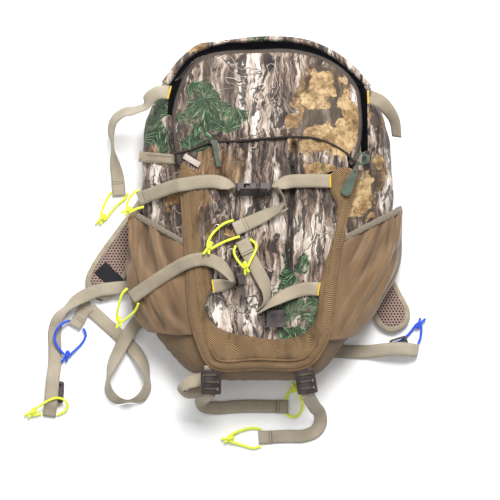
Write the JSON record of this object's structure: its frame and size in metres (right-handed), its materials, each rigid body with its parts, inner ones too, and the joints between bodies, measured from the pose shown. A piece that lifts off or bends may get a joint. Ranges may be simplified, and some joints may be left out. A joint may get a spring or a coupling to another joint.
{
  "type": "hunting backpack",
  "caption": "Hunting daypack lying on its back: zipped lid, front stuff pocket, side pockets, compression straps with buckles, padded shoulder straps, waist belt and cord pulls.",
  "frame": {"origin": "centre of the resting face of the back pads, under the bag", "axes": "+Y to the pack's top, +X to its right side seen from the front, +Z out of its front"},
  "size_m": [0.5982, 0.6214, 0.1492],
  "materials": {
    "camo": "printed brushed polyester",
    "base_twill": "brown twill",
    "pocket_nylon": "brown stretch nylon",
    "lining": "black lining",
    "elastic": "ribbed elastic binding",
    "zip_tape": "grey-brown zip tape and binding",
    "webbing": "taupe woven webbing",
    "strap_mesh": "open hexagonal mesh over foam",
    "black_elastic": "black elastic",
    "pad": "mesh-covered foam",
    "board": "polyethylene sheet",
    "buckle": "moulded acetal",
    "pull": "moulded grey-green rubber",
    "slider": "coated zip slider",
    "cord_yellow": "braided cord",
    "cord_blue": "braided cord",
    "label": "woven tab, blank",
    "steel": "bright wire"
  },
  "bodies": {
    "bag": {"bag_shell": "camo", "base_panel": "base_twill", "back_panel": "pad", "frame_sheet": "board", "back_pads": "pad", "hood": "camo", "corner_lining": "lining", "rim_tape": "zip_tape", "stuff_pocket": "camo", "side_pocket_left": "pocket_nylon", "side_pocket_right": "pocket_nylon", "pocket_elastics": "elastic", "haul_loop": "webbing", "upper_strap_left": "webbing", "upper_strap_right": "webbing", "upper_buckle_socket": "buckle", "lower_strap_left": "webbing", "lower_strap_right": "webbing", "top_strap_left": "webbing", "top_strap_right": "webbing", "base_strap_left": "webbing", "base_strap_right": "webbing", "harness_webbing_left": "webbing", "harness_webbing_right": "webbing", "waist_belt_left": "webbing", "waist_belt_right": "webbing", "wire_pin": "steel", "pull_cord_a": "cord_yellow", "pull_cord_b": "cord_yellow", "pull_cord_c": "cord_yellow", "pull_cord_d": "cord_yellow", "pull_cord_e": "cord_yellow", "pull_cord_g": "cord_yellow", "pull_cord_h": "cord_yellow", "knots_yellow": "cord_yellow"},
    "upper_plug": {"upper_buckle_plug": "buckle"},
    "lower_plug": {"lower_buckle_plug": "buckle"},
    "lower_socket": {"lower_buckle_socket": "buckle"},
    "lid": {"lid_panel": "camo", "lid_binding": "zip_tape", "lid_zip": "zip_tape", "label_tab": "label"},
    "lid_slider": {"lid_zip_slider": "slider"},
    "lid_pull": {"lid_zip_pull": "pull"},
    "main_slider": {"main_zip_slider": "slider"},
    "main_pull": {"main_zip_pull": "pull"},
    "left_strap": {"shoulder_strap_left": "strap_mesh", "strap_band_left": "black_elastic", "strap_ladderlock_left": "buckle", "pull_cord_i": "cord_blue", "knot_left_strap": "cord_blue"},
    "right_strap": {"shoulder_strap_right": "strap_mesh", "pull_cord_j": "cord_blue", "knot_right_strap": "cord_blue"},
    "right_strap_lock": {"strap_ladderlock_right": "buckle"},
    "base_lock_left": {"base_ladderlock_left": "buckle"},
    "base_lock_right": {"base_ladderlock_right": "buckle"},
    "waist_buckle": {"waist_buckle_left": "buckle", "pull_cord_f": "cord_yellow", "knot_belt": "cord_yellow"}
  },
  "joints": [
    {"name": "lid_opens", "type": "hinge", "parent": "bag", "child": "lid", "pos_m": [0, 0.068, 0.123], "axis": [1, 0, 0], "range_deg": [0, 130]},
    {"name": "lid_slider_runs", "type": "slide", "parent": "lid", "child": "lid_slider", "axis": [0.9982, 0.06, 0], "range_m": [0, 0.12]},
    {"name": "lid_pull_swings", "type": "hinge", "parent": "lid_slider", "child": "lid_pull", "pos_m": [-0.071, 0.107, 0.124], "axis": [-0.9818, -0.19, 0], "range_deg": [0, 150]},
    {"name": "main_slider_runs", "type": "slide", "parent": "bag", "child": "main_slider", "axis": [0, 1, 0], "range_m": [0, 0.07]},
    {"name": "main_pull_swings", "type": "hinge", "parent": "main_slider", "child": "main_pull", "pos_m": [0.153, 0.082, 0.119], "axis": [-0.8601, 0.5101, 0], "range_deg": [0, 60]},
    {"name": "upper_plug_releases", "type": "slide", "parent": "bag", "child": "upper_plug", "axis": [1, 0, 0], "range_m": [0, 0.03], "deforming": ["upper_strap_right"]},
    {"name": "lower_plug_swings", "type": "hinge", "parent": "bag", "child": "lower_plug", "pos_m": [-0.033, -0.088, 0.136], "axis": [-0.9818, -0.19, 0], "range_deg": [0, 45], "deforming": ["lower_strap_left"]},
    {"name": "lower_socket_swings", "type": "hinge", "parent": "bag", "child": "lower_socket", "pos_m": [0.0045, -0.1535, 0.128], "axis": [0, -1, 0], "range_deg": [0, 25], "deforming": ["lower_strap_right"]},
    {"name": "base_lock_left_tilts", "type": "hinge", "parent": "bag", "child": "base_lock_left", "pos_m": [-0.076, -0.233, 0.109], "axis": [-1, 0, 0], "range_deg": [0, 50], "deforming": ["base_strap_left"]},
    {"name": "base_lock_right_tilts", "type": "hinge", "parent": "bag", "child": "base_lock_right", "pos_m": [0.062, -0.232, 0.109], "axis": [-1, 0, 0], "range_deg": [0, 50], "deforming": ["base_strap_right"]},
    {"name": "left_strap_swings", "type": "hinge", "parent": "bag", "child": "left_strap", "pos_m": [0, 0.227, 0.0117], "axis": [1, 0, 0], "range_deg": [0, 30], "deforming": ["harness_webbing_left"]},
    {"name": "right_strap_swings", "type": "hinge", "parent": "bag", "child": "right_strap", "pos_m": [0, 0.227, 0.0117], "axis": [1, 0, 0], "range_deg": [0, 30], "deforming": ["harness_webbing_right"]},
    {"name": "right_strap_lock_tilts", "type": "hinge", "parent": "right_strap", "child": "right_strap_lock", "pos_m": [0.2069, -0.1889, 0.0072], "axis": [-0.9539, -0.3, 0], "range_deg": [0, 15]},
    {"name": "waist_buckle_swings", "type": "hinge", "parent": "bag", "child": "waist_buckle", "pos_m": [-0.313, -0.2545, 0.0052], "axis": [-1, 0, 0], "range_deg": [0, 45], "deforming": ["waist_belt_left"]}
  ]
}
